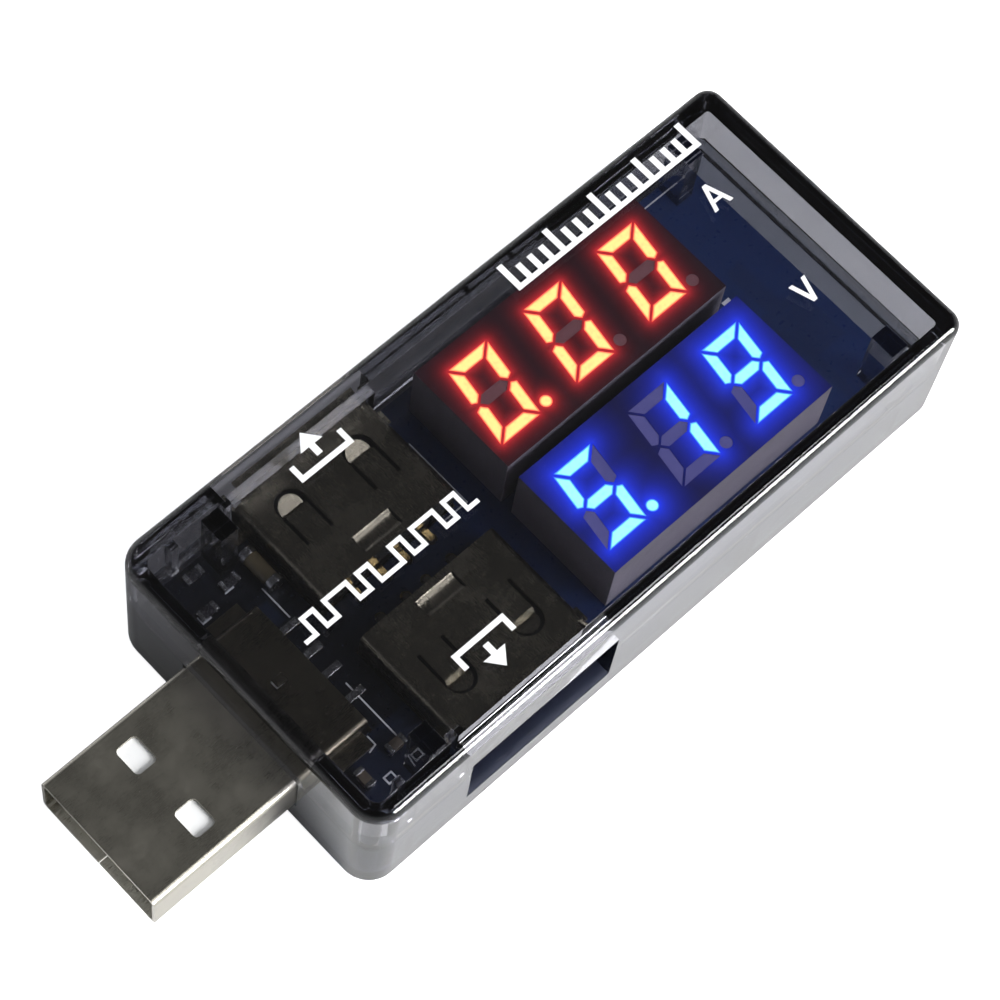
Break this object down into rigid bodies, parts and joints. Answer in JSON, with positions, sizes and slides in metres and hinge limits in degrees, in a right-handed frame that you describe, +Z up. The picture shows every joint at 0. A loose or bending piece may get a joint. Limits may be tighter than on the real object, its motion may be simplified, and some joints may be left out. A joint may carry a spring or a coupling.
{
  "type": "usb power meter",
  "caption": "Clear-cased stick with a USB plug at one end, back-to-back USB sockets in its sides and two lit seven-segment displays for current and voltage.",
  "frame": {"origin": "middle of the underside of the whole meter, plug included", "axes": "X from the plug's tip towards the far end of the case, +Y towards the current display's side (left, seen from the plug), +Z up out of the display face"},
  "size_m": [0.0732, 0.0274, 0.014],
  "materials": {
    "smoke_plastic_lower": "smoky transparent, glossy",
    "smoke_plastic_upper": "smoky transparent, glossy",
    "board": "dark blue solder mask",
    "plug_steel": "nickel plated, satin",
    "socket_steel": "nickel plated, satin",
    "white_plastic": "moulded",
    "black_plastic": "moulded",
    "gold_contact": "plated",
    "display_housing": "matte",
    "red_segments": "clear potting, lit red",
    "blue_segments": "clear potting, lit blue",
    "display_carrier": "bare laminate",
    "tinned_metal": "tinned, bright",
    "chip_body": "moulded",
    "resistor_body": "glazed",
    "capacitor_body": "matte",
    "diode_glass": "glossy"
  },
  "bodies": {
    "root": {"bottom_shell": "smoke_plastic_lower", "top_shell": "smoke_plastic_upper", "circuit_board": "board", "plug_shell": "plug_steel", "plug_insulator": "white_plastic", "plug_contacts": "gold_contact", "left_socket_shell": "socket_steel", "right_socket_shell": "socket_steel", "left_socket_tongue": "black_plastic", "right_socket_tongue": "black_plastic", "left_socket_contacts": "gold_contact", "right_socket_contacts": "gold_contact", "current_display_case": "display_housing", "voltage_display_case": "display_housing", "current_display_segments": "red_segments", "voltage_display_segments": "blue_segments", "current_display_base": "display_carrier", "voltage_display_base": "display_carrier", "current_display_pins": "tinned_metal", "voltage_display_pins": "tinned_metal", "microcontroller": "chip_body", "sense_amplifier": "chip_body", "shunt_resistor": "resistor_body", "voltage_regulator": "chip_body", "protection_diode": "diode_glass", "capacitors": "capacitor_body", "resistors": "resistor_body", "solder_joints": "tinned_metal"}
  },
  "joints": []
}
